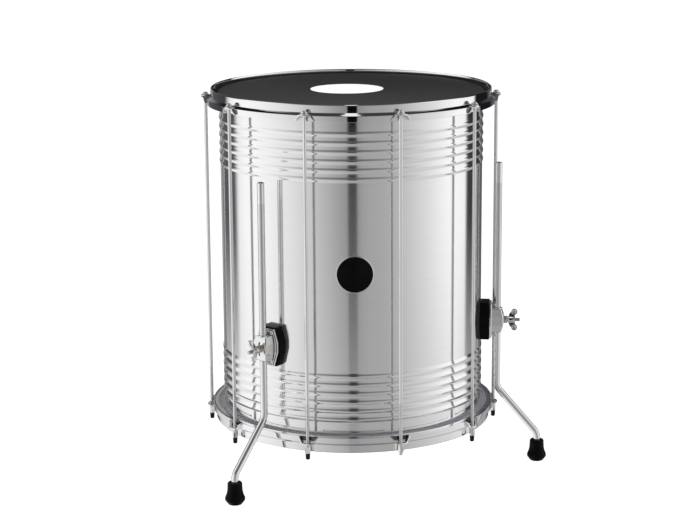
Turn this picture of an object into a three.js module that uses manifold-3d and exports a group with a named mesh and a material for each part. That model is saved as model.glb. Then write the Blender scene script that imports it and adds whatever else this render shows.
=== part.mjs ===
// Floor surdo: a beaded aluminium shell between two hoops, held by ten tension rods,
// and standing on three bent legs that slide in clamps on the shell.
// The origin is the centre of the batter head's playing face. +Z is up and -Y is the front.
// Angles round the drum count from the front towards +X. Lengths are in millimetres.

import * as THREE from 'three';
import { mergeVertices } from 'three/addons/utils/BufferGeometryUtils.js';
import Module from 'manifold-3d';

const wasm = await Module();
wasm.setup();

// Faces of round forms
const drumFaces = 40;
const boreFaces = 12;
const tubeFaces = 12;
const rodFaces = 8;
const footFaces = 14;
const nutFaces = 6;
const badgeFaces = 28;

// Clearances
const seatGap = 0.3;
const boreClearance = 0.35;
const cutOverrun = 2;

// Shell
const shellDiameter = 457;
const shellDepth = 574;
const shellWall = 1.6;
const beadCount = 6;
const beadPitch = 15.1;
const beadWidth = 10.5;
const beadHeight = 2;
const topBeadDrop = 43;
const bottomBeadRise = 46;

// Heads: film, collar and flesh hoop
const filmThickness = 0.5;
const filmOverhang = 0.9;
const fleshHoopWidth = 9;
const fleshHoopHeight = 7;

// Hoops
const hoopGauge = 2.3;
const hoopHeight = 27.5;
const rimStand = 6.2;
const rimLip = 0.6;
const rimLipHeight = 3.4;
const wallStand = 15.2;
const wallHeight = 13.2;
const stepDrop = 4.2;
const skirtStand = 6.1;
const fleshHoopRoom = 0.4;

// Ears of the hoops
const lugCount = 10;
const firstLugAngle = 18;
const earTabWidth = 22.4;
const earTabDrop = 15.4;
const earReach = 10.5;
const earLipReach = 6.5;
const notchFootWidth = 32.4;

// Tension rods, nuts and end caps
const rodDiameter = 6;
const rodStandoff = 2.9;
const rodHeadDiameter = 14.4;
const rodHeadHeight = 6.4;
const rodHeadCrown = 3.6;
const rodTipReach = 4.4;
const nutCollarDiameter = 11.2;
const nutCollarHeight = 1.8;
const nutWidth = 8.4;
const nutHeight = 14;
const capDiameter = 8.4;
const capHeight = 10.2;
const capWall = 0.9;
const rodWithoutCap = 0;

// Leg clamps
const bracketRise = 167.8;
const gasketDepth = 15.4;
const gasketBorder = 1.9;
const plateDepth = 4.5;
const plateHeight = 62.8;
const plateEndWidth = 30.6;
const plateMiddleWidth = 44.6;
const bracketMiddleFlat = 16;
const blockDepth = 20.2;
const blockHeight = 42;
const blockEndWidth = 25;
const blockMiddleWidth = 30;
const blockBevel = 1.6;
const blockCrown = 3.6;
const clampCavityHeight = 22;
const clampSlotWidth = 2.8;
const clampSlotHeight = 24;
const screwSpacing = 53;
const screwDiameter = 4.4;
const screwHeadDiameter = 6.4;
const screwHeadHeight = 2.2;
const backingWidth = 18;
const backingHeight = 62;
const backingDepth = 2;
const screwNutDiameter = 8;
const screwNutHeight = 4;

// Eyebolts, washers and wing nuts
const eyeWall = 3.2;
const eyeHeight = 6;
const studDiameter = 6;
const studTipReach = 8.4;
const washerDiameter = 13.6;
const washerDepth = 7;
const wingBodyDiameter = 12.4;
const wingBodyDepth = 12.8;
const wingThickness = 3.2;
const wingPadDiameter = 11;
const wingPadDish = 7.6;
const wingPadDishDepth = 0.8;
const wingPadSpacing = 27.6;
const wingPadSetback = 1.6;
const wingArmWidth = 6.4;

// Legs
const legTubeDiameter = 12;
const legTubeInset = 11.2;
const legTubeRise = 281.6;
const legTubeChamfer = 1.2;
const legUpperBendDrop = 123.4;
const legReach = 73.2;
const legSlantHeight = 82.5;
const legUpperBendRadius = 26;
const legLowerBendRadius = 22;
const legTurn = -6;
const bendSteps = 16;
const bendOverlap = 1;

// Rubber feet
const footHeight = 38;
const footTopDiameter = 23;
const footNeckDiameter = 25.2;
const footNeckHeight = 24;
const footFlareDiameter = 34;
const footFlareTop = 11;
const footFlareBottom = 7.5;
const footBaseDiameter = 23;
const footTopRound = 3;
const footSole = 12;
const footDrop = 49.5;

// Badge on the shell
const badgeDiameter = 64;
const badgeDepth = 1.6;
const badgeRise = 10;
const badgeAngle = 0.7;

// Directions of the three legs, and how far each wing nut is turned from upright
const legSides = [
  { name: 'left', angle: -36, wingTurn: -12 },
  { name: 'right', angle: 84, wingTurn: 6 },
  { name: 'rear', angle: 204, wingTurn: 0 },
];

// Places worked out from the sizes
const shellRadius = shellDiameter / 2;
const shellTop = -filmThickness - seatGap;
const shellBottom = shellTop - shellDepth;
const drumMiddle = (shellTop + shellBottom) / 2;
const wallRadius = shellRadius + wallStand;
const skirtRadius = wallRadius + skirtStand;
const fleshHoopOuter = skirtRadius - hoopGauge - fleshHoopRoom;
const fleshHoopInner = fleshHoopOuter - fleshHoopWidth;
const tabTop = rimStand - earTabDrop;
const rodCircle = skirtRadius + rodStandoff;
const bottomTab = 2 * drumMiddle - tabTop;
const nutTop = bottomTab - seatGap;
const nutBottom = nutTop - nutCollarHeight - nutHeight;
const rodTip = nutBottom - rodTipReach;
const bracketHeight = shellBottom + bracketRise;
const faceShare = Math.cos(Math.PI / drumFaces);
const gasketFace = shellRadius + gasketDepth;
const plateBack = gasketFace + seatGap;
const plateFace = plateBack + plateDepth;
const blockFace = plateFace + blockDepth;
const tubeCircle = blockFace - legTubeInset;
const washerBack = blockFace + seatGap;
const wingBack = washerBack + washerDepth + seatGap;
const wingFace = wingBack + wingBodyDepth;
const studTip = wingFace + studTipReach;
const legTubeRadius = legTubeDiameter / 2;
const legBoreRadius = (legTubeRadius + boreClearance) / Math.cos(Math.PI / boreFaces);
const eyeRadius = legBoreRadius + eyeWall;
const cavityRadius = eyeRadius + boreClearance;
const floorHeight = bracketHeight - legUpperBendDrop - legSlantHeight - footDrop;

const metal = (color, roughness) => new THREE.MeshStandardMaterial({ color, roughness, metalness: 1 });
const plain = (color, roughness) => new THREE.MeshStandardMaterial({ color, roughness, metalness: 0 });

const brushedAluminium = metal(0xc4c5c7, 0.36);
const polishedSteel = metal(0xd2d3d6, 0.12);
const chrome = metal(0xdcdde0, 0.08);
const zincSteel = metal(0xb4b2b0, 0.32);
const brassWasher = metal(0xa58f72, 0.4);
const blackFilm = plain(0x2b2a2b, 0.6);
const blackRubber = plain(0x141416, 0.7);
const blackPlastic = plain(0x101011, 0.45);
const badgePaint = plain(0x0c0c0d, 0.3);

const drum = new THREE.Group();

// Makes a mesh of a geometry or of a solid and gives it its node name
function piece(name, shape, material, parent = drum) {
  const geometry = shape.isBufferGeometry ? shape : surfaceOf(shape);
  const mesh = new THREE.Mesh(geometry, material);
  mesh.name = name;
  parent.add(mesh);
}

function solid(geometry) {
  const plainGeometry = geometry.clone();
  plainGeometry.deleteAttribute('normal');
  plainGeometry.deleteAttribute('uv');
  const merged = mergeVertices(plainGeometry);
  const corners = merged.attributes.position.array;
  const triangles = merged.index.array;
  const vertProperties = Float32Array.from(corners);
  const triVerts = Uint32Array.from(triangles);
  return new wasm.Manifold(new wasm.Mesh({ numProp: 3, vertProperties, triVerts }));
}

function surfaceOf(body) {
  const mesh = body.getMesh();
  const geometry = new THREE.BufferGeometry();
  geometry.setAttribute('position', new THREE.BufferAttribute(mesh.vertProperties, 3));
  geometry.setIndex(new THREE.BufferAttribute(mesh.triVerts, 1));
  geometry.computeVertexNormals();
  return geometry;
}

// Turns a closed profile of [radius, height] points round the Z axis, faces pointing out
function turned(profile, faces, start = 0) {
  let area = 0;
  profile.forEach(([radius, height], i) => {
    const [nextRadius, nextHeight] = profile[(i + 1) % profile.length];
    area += radius * nextHeight - nextRadius * height;
  });
  const ordered = area > 0 ? profile : [...profile].reverse();
  const onAxis = profile.some(([radius]) => radius === 0);
  const first = onAxis ? ordered.findIndex(([radius], i) => radius === 0
    && ordered[(i + ordered.length - 1) % ordered.length][0] === 0) : 0;
  const loop = ordered.map((point, i) => ordered[(first + i) % ordered.length]);
  if (!onAxis) loop.push(loop[0]);
  const points = loop.map(([radius, height]) => new THREE.Vector2(radius, height));
  return new THREE.LatheGeometry(points, faces, start).rotateX(Math.PI / 2);
}

// Round bar or hole between two radii of the drum, lying along the outward direction
function radialBar(diameter, from, to, faces = rodFaces) {
  const bar = new THREE.CylinderGeometry(diameter / 2, diameter / 2, to - from, faces);
  return solid(bar.translate(0, -(from + to) / 2, 0));
}

// Outline of [sideways, height] points, extended outwards between two radii of the drum
function radialSlab(outline, from, to, bevel = 0) {
  const shape = new THREE.Shape(outline.map(([x, z]) => new THREE.Vector2(x, z)));
  const depth = to - from - bevel;
  const corners = { bevelEnabled: bevel > 0, bevelThickness: bevel, bevelSize: bevel,
    bevelOffset: -bevel, bevelSegments: 1 };
  const slab = new THREE.ExtrudeGeometry(shape, { depth, ...corners });
  return solid(slab.rotateX(Math.PI / 2).translate(0, -from, 0));
}

// Long eight-sided outline, widest along its middle flat
function waistedOutline(height, endWidth, middleWidth, middleFlat) {
  const end = endWidth / 2;
  const middle = middleWidth / 2;
  const top = height / 2;
  const flat = middleFlat / 2;
  return [[end, top], [-end, top], [-middle, flat], [-middle, -flat],
    [-end, -top], [end, -top], [middle, -flat], [middle, flat]];
}

function placedRound(angle) {
  const holder = new THREE.Group();
  holder.rotation.z = THREE.MathUtils.degToRad(angle);
  drum.add(holder);
  return holder;
}

function turnRound(body, angle) {
  return body.rotate([0, 0, angle]);
}

const lugAngles = Array.from({ length: lugCount }, (_, i) => firstLugAngle + (360 / lugCount) * i);

// Shell with its rolled beads and the holes for the clamp screws
function makeShell() {
  const firstBottomBead = shellBottom + bottomBeadRise + beadPitch * (beadCount - 1);
  const outside = [[shellRadius, shellTop]];
  for (const firstBead of [shellTop - topBeadDrop, firstBottomBead]) {
    for (let i = 0; i < beadCount; i += 1) {
      const crest = firstBead - beadPitch * i;
      outside.push([shellRadius, crest + beadWidth / 2]);
      outside.push([shellRadius + beadHeight, crest]);
      outside.push([shellRadius, crest - beadWidth / 2]);
    }
  }
  const inner = shellRadius - shellWall;
  const profile = [...outside, [shellRadius, shellBottom], [inner, shellBottom], [inner, shellTop]];
  let shell = solid(turned(profile, drumFaces));
  for (const side of legSides) {
    shell = shell.subtract(turnRound(screwHoles(), side.angle));
  }
  return shell;
}

// Two holes for the screws of one clamp, through the shell, gasket and plate
function screwHoles() {
  const diameter = screwDiameter + 2 * boreClearance;
  const from = shellRadius - shellWall - backingDepth - cutOverrun;
  const hole = (height) => radialBar(diameter, from, blockFace).translate([0, 0, height]);
  return hole(bracketHeight + screwSpacing / 2).add(hole(bracketHeight - screwSpacing / 2));
}

function makeHead() {
  const edge = shellRadius + filmOverhang;
  const fleshTop = rimStand - wallHeight - stepDrop - hoopGauge - seatGap;
  const fleshBottom = fleshTop - fleshHoopHeight;
  const profile = [
    [0, 0], [edge, 0], [fleshHoopInner + filmThickness, fleshTop], [fleshHoopOuter, fleshTop],
    [fleshHoopOuter, fleshBottom], [fleshHoopInner, fleshBottom], [fleshHoopInner, fleshTop],
    [edge - filmThickness, -filmThickness], [0, -filmThickness],
  ];
  return turned(profile, drumFaces);
}

// Hoop ring: rim lip, upright wall, sloped step and skirt
function hoopRing() {
  const lip = wallRadius + rimLip;
  const inner = wallRadius - hoopGauge;
  const step = rimStand - wallHeight;
  const skirtTop = step - stepDrop;
  const skirtFoot = rimStand - hoopHeight;
  const skirtInner = skirtRadius - hoopGauge;
  const profile = [
    [inner, rimStand], [lip, rimStand], [lip, rimStand - rimLipHeight],
    [wallRadius, rimStand - rimLipHeight - rimLip], [wallRadius, step], [skirtRadius, skirtTop],
    [skirtRadius, skirtFoot], [skirtInner, skirtFoot], [skirtInner, skirtTop - hoopGauge],
    [inner, step - hoopGauge / 2],
  ];
  return solid(turned(profile, drumFaces));
}

// Notch that opens the skirt under an ear
function earNotch() {
  const top = tabTop - hoopGauge;
  const foot = rimStand - hoopHeight - cutOverrun;
  const half = earTabWidth / 2 - hoopGauge;
  const footHalf = notchFootWidth / 2;
  const outline = [[half, top], [-half, top], [-footHalf, foot], [footHalf, foot]];
  return radialSlab(outline, fleshHoopOuter, skirtRadius + earReach + cutOverrun);
}

// Ear: a flat tab with the rod hole, and a lip down each side of its notch
function earBody() {
  const top = tabTop;
  const under = top - hoopGauge;
  const half = earTabWidth / 2;
  const foot = rimStand - hoopHeight;
  const footHalf = notchFootWidth / 2;
  const innerRadius = wallRadius - hoopGauge / 2;
  const tab = radialSlab([[half, top], [-half, top], [-half, under], [half, under]],
    innerRadius, skirtRadius + earReach);
  const lips = radialSlab([[half, top], [-half, top], [-footHalf - hoopGauge, foot],
    [footHalf + hoopGauge, foot]], fleshHoopOuter + fleshHoopRoom, skirtRadius + earLipReach);
  return lips.subtract(earNotch()).add(tab);
}

// Hole for a rod through the ear, with a round seat for the rod's head
function rodHole() {
  const radius = (rodDiameter / 2 + boreClearance) / Math.cos(Math.PI / rodFaces);
  const seatRadius = (rodHeadDiameter / 2 + boreClearance) / Math.cos(Math.PI / rodFaces);
  const hole = new THREE.CylinderGeometry(radius, radius, hoopHeight, rodFaces);
  const seat = new THREE.CylinderGeometry(seatRadius, seatRadius, rodHeadHeight, rodFaces);
  return solid(hole.rotateX(Math.PI / 2).translate(0, -rodCircle, tabTop))
    .add(solid(seat.rotateX(Math.PI / 2).translate(0, -rodCircle, tabTop + rodHeadHeight / 2)));
}

function makeHoop() {
  let hoop = hoopRing();
  for (const angle of lugAngles) {
    hoop = hoop.subtract(turnRound(earNotch(), angle));
  }
  for (const angle of lugAngles) {
    hoop = hoop.add(turnRound(earBody(), angle)).subtract(turnRound(rodHole(), angle));
  }
  return hoop;
}

// Tension rod with a domed head
function makeRod() {
  const radius = rodDiameter / 2;
  const headRadius = rodHeadDiameter / 2;
  const headFoot = tabTop + seatGap;
  const headTop = headFoot + rodHeadHeight;
  const profile = [
    [0, rodTip], [radius, rodTip], [radius, headFoot], [headRadius, headFoot],
    [headRadius, headTop - rodHeadCrown], [headRadius * Math.SQRT1_2, headTop - rodHeadCrown / 4],
    [0, headTop],
  ];
  return turned(profile, rodFaces, Math.PI / rodFaces).translate(0, -rodCircle, 0);
}

// Long hexagon nut with a round collar that seats on the ear
function makeNut() {
  const collar = nutCollarDiameter / 2;
  const shoulder = nutTop - nutCollarHeight;
  const hexagonRadius = nutWidth / Math.sqrt(3);
  const collarSolid = solid(turned(
    [[0, nutTop], [0, shoulder - seatGap], [collar, shoulder], [collar, nutTop]], rodFaces));
  const hexagon = solid(turned(
    [[0, shoulder], [0, nutBottom], [hexagonRadius, nutBottom], [hexagonRadius, shoulder]], nutFaces));
  const boreRadius = (rodDiameter / 2 + boreClearance) / Math.cos(Math.PI / rodFaces);
  const bore = solid(turned([[0, nutTop + cutOverrun], [0, nutBottom - cutOverrun],
    [boreRadius, nutBottom - cutOverrun], [boreRadius, nutTop + cutOverrun]], rodFaces));
  return collarSolid.add(hexagon).subtract(bore).translate([0, -rodCircle, 0]);
}

// Push-on cap over the tip of a rod
function makeCap() {
  const radius = capDiameter / 2;
  const top = nutBottom - seatGap;
  const bottom = top - capHeight;
  const bore = radius - capWall;
  const floor = rodTip - seatGap;
  const profile = [
    [0, bottom], [radius / 2, bottom + radius / 4], [radius, bottom + radius], [radius, top],
    [bore, top], [bore, floor], [0, floor],
  ];
  return turned(profile, rodFaces).translate(0, -rodCircle, 0);
}

// Gasket: black pad between the shell and the clamp
function makeGasket(angle) {
  const edge = 2 * gasketBorder;
  const outline = waistedOutline(plateHeight + edge, plateEndWidth + edge,
    plateMiddleWidth + edge, bracketMiddleFlat);
  const inside = shellRadius * faceShare - cutOverrun - edge;
  const pad = radialSlab(outline, inside, gasketFace);
  const seat = shellRadius + seatGap;
  const shellCut = solid(turned([[0, 0], [seat, 0], [seat, -shellDepth], [0, -shellDepth]],
    drumFaces));
  return pad.translate([0, 0, bracketHeight]).subtract(turnRound(shellCut, -angle))
    .subtract(screwHoles());
}

// Side view of the block, from inside the plate to its crowned front, reaching past both sides
function crownedBlock() {
  const back = plateFace - plateDepth / 2;
  const shoulder = blockFace - blockCrown;
  const top = blockHeight / 2;
  const flat = bracketMiddleFlat / 2;
  const outline = [[-back, -top], [-back, top], [-shoulder, top], [-blockFace, flat],
    [-blockFace, -flat], [-shoulder, -top]];
  const shape = new THREE.Shape(outline.map(([y, z]) => new THREE.Vector2(y, z)));
  const across = new THREE.ExtrudeGeometry(shape, { depth: 2 * blockMiddleWidth, bevelEnabled: false });
  const axes = new THREE.Matrix4().makeBasis(new THREE.Vector3(0, 1, 0),
    new THREE.Vector3(0, 0, 1), new THREE.Vector3(1, 0, 0));
  return solid(across.applyMatrix4(axes).translate(-blockMiddleWidth, 0, 0));
}

// Clamp housing: plate and block with the bore for the leg and the cavity for the eyebolt
function makeHousing() {
  const plate = radialSlab(waistedOutline(plateHeight, plateEndWidth, plateMiddleWidth,
    bracketMiddleFlat), plateBack, plateFace);
  const block = radialSlab(waistedOutline(blockHeight, blockEndWidth, blockMiddleWidth,
    bracketMiddleFlat), plateFace - plateDepth / 2, blockFace, blockBevel).intersect(crownedBlock());
  const boreHeight = blockHeight + 2 * cutOverrun;
  const bore = new THREE.CylinderGeometry(legBoreRadius, legBoreRadius, boreHeight, boreFaces);
  const cavity = new THREE.CylinderGeometry(cavityRadius, cavityRadius, clampCavityHeight, boreFaces);
  const slotHalf = clampSlotWidth / 2;
  const slotTop = clampSlotHeight / 2;
  const slot = radialSlab([[slotHalf, slotTop], [-slotHalf, slotTop], [-slotHalf, -slotTop],
    [slotHalf, -slotTop]], tubeCircle, blockFace + cutOverrun);
  const studHole = radialBar(studDiameter + 2 * boreClearance, tubeCircle, blockFace + cutOverrun,
    tubeFaces);
  return plate.add(block)
    .subtract(solid(bore.rotateX(Math.PI / 2).translate(0, -tubeCircle, 0)))
    .subtract(solid(cavity.rotateX(Math.PI / 2).translate(0, -tubeCircle, 0)))
    .subtract(slot)
    .subtract(studHole)
    .translate([0, 0, bracketHeight])
    .subtract(screwHoles());
}

// Backing plate inside the shell with the two screws that hold the clamp
function makeFixing() {
  const half = backingWidth / 2;
  const top = backingHeight / 2;
  const inside = shellRadius - shellWall;
  const face = Math.sqrt(inside * inside - half * half) * faceShare - seatGap;
  const back = face - backingDepth;
  let fixing = radialSlab([[half, top], [-half, top], [-half, -top], [half, -top]], back, face);
  for (const height of [screwSpacing / 2, -screwSpacing / 2]) {
    const headFoot = plateFace + seatGap;
    const shank = radialBar(screwDiameter, back, headFoot + screwHeadHeight / 2);
    const head = radialBar(screwHeadDiameter, headFoot, headFoot + screwHeadHeight);
    const nut = radialBar(screwNutDiameter, back - screwNutHeight, back + backingDepth / 2, nutFaces);
    fixing = fixing.add(shank.add(head).add(nut).translate([0, 0, height]));
  }
  return fixing.translate([0, 0, bracketHeight]);
}

// Eyebolt: ring round the leg and threaded stud through the front of the block
function makeEyebolt() {
  const ring = new THREE.CylinderGeometry(eyeRadius, eyeRadius, eyeHeight, boreFaces);
  const hole = new THREE.CylinderGeometry(legBoreRadius, legBoreRadius, eyeHeight + cutOverrun, boreFaces);
  const stud = radialBar(studDiameter, tubeCircle + legBoreRadius + eyeWall / 2, studTip, tubeFaces);
  return solid(ring.rotateX(Math.PI / 2).translate(0, -tubeCircle, 0))
    .subtract(solid(hole.rotateX(Math.PI / 2).translate(0, -tubeCircle, 0)))
    .add(stud)
    .translate([0, 0, bracketHeight]);
}

function makeWasher() {
  const hole = studDiameter + 2 * boreClearance;
  return radialBar(washerDiameter, washerBack, washerBack + washerDepth, boreFaces)
    .subtract(radialBar(hole, washerBack - cutOverrun, wingBack + cutOverrun, tubeFaces))
    .translate([0, 0, bracketHeight]);
}

// Wing nut: round body with two arms that end in dished pads
function makeWingNut(turn) {
  const padRadius = wingPadDiameter / 2;
  const padCentre = wingFace - wingPadSetback;
  const padHeight = wingPadSpacing / 2;
  const armRoot = wingBack + wingArmWidth / 4;
  const half = wingThickness / 2;
  const toThickness = new THREE.Matrix4().makeBasis(new THREE.Vector3(0, -1, 0),
    new THREE.Vector3(0, 0, 1), new THREE.Vector3(-1, 0, 0));
  const across = (radius, depth, faces) => new THREE.CylinderGeometry(radius, radius, depth, faces)
    .rotateZ(Math.PI / 2);
  let nut = radialBar(wingBodyDiameter, wingBack, wingFace, boreFaces);
  for (const way of [1, -1]) {
    const arm = new THREE.Shape([
      new THREE.Vector2(armRoot, 0), new THREE.Vector2(armRoot + wingArmWidth, 0),
      new THREE.Vector2(padCentre + padRadius / 2, way * (padHeight - padRadius / 2)),
      new THREE.Vector2(padCentre - padRadius / 2, way * (padHeight + padRadius / 4)),
      new THREE.Vector2(armRoot, way * wingBodyDiameter / 2 + way * wingArmWidth / 4),
    ]);
    const flat = new THREE.ExtrudeGeometry(arm, { depth: wingThickness, bevelEnabled: false });
    const pad = across(padRadius, wingThickness, tubeFaces).translate(0, -padCentre, way * padHeight);
    nut = nut.add(solid(flat.applyMatrix4(toThickness).translate(half, 0, 0))).add(solid(pad));
    for (const face of [half, -half]) {
      const dish = across(wingPadDish / 2, 2 * wingPadDishDepth, tubeFaces);
      nut = nut.subtract(solid(dish.translate(face, -padCentre, way * padHeight)));
    }
  }
  const hole = studDiameter + 2 * boreClearance;
  return nut.subtract(radialBar(hole, wingBack - cutOverrun, wingFace + cutOverrun, tubeFaces))
    .rotate([0, turn, 0])
    .translate([0, 0, bracketHeight]);
}

// Centre line of the bent end of a leg, from the upper bend to the tip in the foot
function legBendPath() {
  const upper = new THREE.Vector3(0, 0, -legUpperBendDrop);
  const lower = new THREE.Vector3(0, -legReach, -legUpperBendDrop - legSlantHeight);
  const slant = lower.clone().sub(upper).normalize();
  const down = new THREE.Vector3(0, 0, -1);
  const halfTurn = slant.angleTo(down) / 2;
  const upperTrim = legUpperBendRadius * Math.tan(halfTurn);
  const lowerTrim = legLowerBendRadius * Math.tan(halfTurn);
  const start = upper.clone().addScaledVector(down, -upperTrim - bendOverlap);
  const upperIn = upper.clone().addScaledVector(down, -upperTrim);
  const upperOut = upper.clone().addScaledVector(slant, upperTrim);
  const lowerIn = lower.clone().addScaledVector(slant, -lowerTrim);
  const lowerOut = lower.clone().addScaledVector(down, lowerTrim);
  const tip = lower.clone().addScaledVector(down, footDrop - footSole);
  const path = new THREE.CurvePath();
  path.add(new THREE.LineCurve3(start, upperIn));
  path.add(new THREE.QuadraticBezierCurve3(upperIn, upper, upperOut));
  path.add(new THREE.LineCurve3(upperOut, lowerIn));
  path.add(new THREE.QuadraticBezierCurve3(lowerIn, lower, lowerOut));
  path.add(new THREE.LineCurve3(lowerOut, tip));
  return { path, straightEnd: start.z };
}

function makeLegTube() {
  const { path, straightEnd } = legBendPath();
  const section = new THREE.Shape();
  for (let i = 0; i < tubeFaces; i += 1) {
    const angle = (i + 1 / 2) * 2 * Math.PI / tubeFaces;
    const x = legTubeRadius * Math.cos(angle);
    const y = legTubeRadius * Math.sin(angle);
    if (i === 0) section.moveTo(x, y);
    else section.lineTo(x, y);
  }
  section.closePath();
  const along = { steps: bendSteps, extrudePath: path, bevelEnabled: false };
  const bent = new THREE.ExtrudeGeometry(section, along);
  const straight = turned([
    [0, straightEnd - bendOverlap], [legTubeRadius, straightEnd - bendOverlap],
    [legTubeRadius, legTubeRise - legTubeChamfer], [legTubeRadius - legTubeChamfer, legTubeRise],
    [0, legTubeRise],
  ], tubeFaces, Math.PI / tubeFaces);
  return placedLeg(solid(bent).add(solid(straight)));
}

// Turns a leg in its clamp and sets it on the clamp's bore
function placedLeg(body) {
  return body.rotate([0, 0, legTurn]).translate([0, -tubeCircle, bracketHeight]);
}

// Rubber foot, pushed over the end of the leg
function makeFoot() {
  const base = floorHeight - bracketHeight;
  const bore = legBoreRadius;
  const boreFloor = base + footSole - seatGap;
  const profile = [
    [0, base], [footBaseDiameter / 2, base], [footFlareDiameter / 2, base + footFlareBottom],
    [footFlareDiameter / 2, base + footFlareTop], [footNeckDiameter / 2, base + footNeckHeight],
    [footNeckDiameter / 2, base + footHeight - footTopRound], [footTopDiameter / 2, base + footHeight],
    [bore, base + footHeight], [bore, boreFloor], [0, boreFloor],
  ];
  return placedLeg(solid(turned(profile, footFaces).translate(0, -legReach, 0)));
}

// Badge: thin disc that follows the shell
function makeBadge() {
  const inner = shellRadius + seatGap;
  const outer = inner + badgeDepth;
  const height = drumMiddle + badgeRise;
  const top = height + badgeDiameter;
  const foot = height - badgeDiameter;
  const sleeve = solid(turned([[inner, top], [outer, top], [outer, foot], [inner, foot]], drumFaces));
  const disc = radialBar(badgeDiameter, inner * faceShare - cutOverrun, outer + cutOverrun,
    badgeFaces);
  return sleeve.intersect(turnRound(disc.translate([0, 0, height]), badgeAngle));
}

piece('shell', makeShell(), brushedAluminium);
const hoopShape = makeHoop();
const headShape = makeHead();
piece('batter_hoop', hoopShape, polishedSteel);
piece('batter_head', headShape, blackFilm);
const underside = new THREE.Group();
underside.rotation.x = Math.PI;
underside.position.z = 2 * drumMiddle;
drum.add(underside);
piece('resonant_hoop', hoopShape, polishedSteel, underside);
piece('resonant_head', headShape, blackFilm, underside);

lugAngles.forEach((angle, i) => {
  const place = placedRound(angle);
  const number = i + 1;
  piece(`tension_rod_${number}`, makeRod(), chrome, place);
  piece(`tension_nut_${number}`, makeNut(), zincSteel, place);
  if (i !== rodWithoutCap) piece(`rod_cap_${number}`, makeCap(), blackPlastic, place);
});

for (const side of legSides) {
  const place = placedRound(side.angle);
  piece(`clamp_gasket_${side.name}`, makeGasket(side.angle), blackRubber, place);
  piece(`clamp_housing_${side.name}`, makeHousing(), chrome, place);
  piece(`clamp_fixing_${side.name}`, makeFixing(), zincSteel, place);
  piece(`clamp_eyebolt_${side.name}`, makeEyebolt(), zincSteel, place);
  piece(`clamp_washer_${side.name}`, makeWasher(), brassWasher, place);
  piece(`wing_nut_${side.name}`, makeWingNut(side.wingTurn), chrome, place);
  piece(`leg_tube_${side.name}`, makeLegTube(), chrome, place);
  piece(`leg_foot_${side.name}`, makeFoot(), blackRubber, place);
}

piece('badge', makeBadge(), badgePaint);

export default drum;
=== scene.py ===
from math import acos, atan2, cos, hypot, pi, radians, sin, sqrt, tan

import bmesh
import bpy
from mathutils import Matrix, Vector


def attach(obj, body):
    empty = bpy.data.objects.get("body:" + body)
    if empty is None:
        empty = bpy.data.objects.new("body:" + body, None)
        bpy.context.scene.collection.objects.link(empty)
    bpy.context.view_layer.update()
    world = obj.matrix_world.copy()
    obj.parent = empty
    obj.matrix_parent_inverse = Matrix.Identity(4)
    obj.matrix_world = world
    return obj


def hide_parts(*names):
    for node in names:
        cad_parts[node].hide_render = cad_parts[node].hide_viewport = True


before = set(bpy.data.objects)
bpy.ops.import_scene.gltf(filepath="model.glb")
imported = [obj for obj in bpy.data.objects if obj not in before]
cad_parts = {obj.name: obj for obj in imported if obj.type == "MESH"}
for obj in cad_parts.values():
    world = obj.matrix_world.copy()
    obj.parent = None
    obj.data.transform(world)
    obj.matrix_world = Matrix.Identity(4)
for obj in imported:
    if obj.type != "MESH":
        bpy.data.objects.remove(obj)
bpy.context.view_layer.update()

# Sizes in millimetres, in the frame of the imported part: the origin is the centre of the
# batter head, +Z is up, -Y is the front and angles count from the front towards +X
MM = 0.001

SHELL_RADIUS = 228.5
SHELL_WALL = 1.6
SHELL_TOP = -0.8
SHELL_FOOT = -574.8
SHELL_EDGE = 0.8
SHELL_BORDER = 0.6
MIDDLE = (SHELL_TOP + SHELL_FOOT) / 2
BEADS = 6
BEAD_PITCH = 15.1
BEAD_WIDTH = 10.5
BEAD_HEIGHT = 1.7
TOP_BEAD = SHELL_TOP - 43
FOOT_BEAD = SHELL_FOOT + 46

RIM_TOP = 6.2
WALL_RADIUS = 243.7
STEP_TOP = -7.0
SKIRT_TOP = -11.2
SKIRT_RADIUS = 249.8
SKIRT_FOOT = -21.3
SKIRT_SEAM = STEP_TOP - 5.5
GAUGE = 2.3
NOTCH_TOP = -11.5
NOTCH_WIDTH = 18.0
NOTCH_SLANT = 0.72
TAB_TOP = -9.2
TAB_BEND = 10.1
TAB_FOOT = 17.2
TONGUE_WIDTH = 22.8
TONGUE_LENGTH = 4.0
LUG_SPACING = 36
LUG_ANGLES = [18 + LUG_SPACING * i for i in range(10)]

FILM = 0.5
FILM_OVERHANG = 0.9
DISC_RADIUS = 63.2
FLESH_OUTER = SKIRT_RADIUS - GAUGE - 0.4
FLESH_INNER = FLESH_OUTER - 9
FLESH_TOP = SKIRT_TOP - GAUGE - 0.3
FLESH_FOOT = FLESH_TOP - 7

ROD_CIRCLE = 252.7
ROD_RADIUS = 3.0
BOLT_BORE = 3.35
TAB_BELOW = 2 * MIDDLE - TAB_TOP
THREADED_LENGTH = 70
NUT_TOP = TAB_BELOW - 0.3
NUT_FOOT = NUT_TOP - 15.8
NUT_SHOULDER = NUT_TOP - 4.4
NUT_APOTHEM = 4.2
ROD_TIP = NUT_FOOT - 4.4
CAP_LENGTH = 10.2
BARE_ROD = 1

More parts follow.
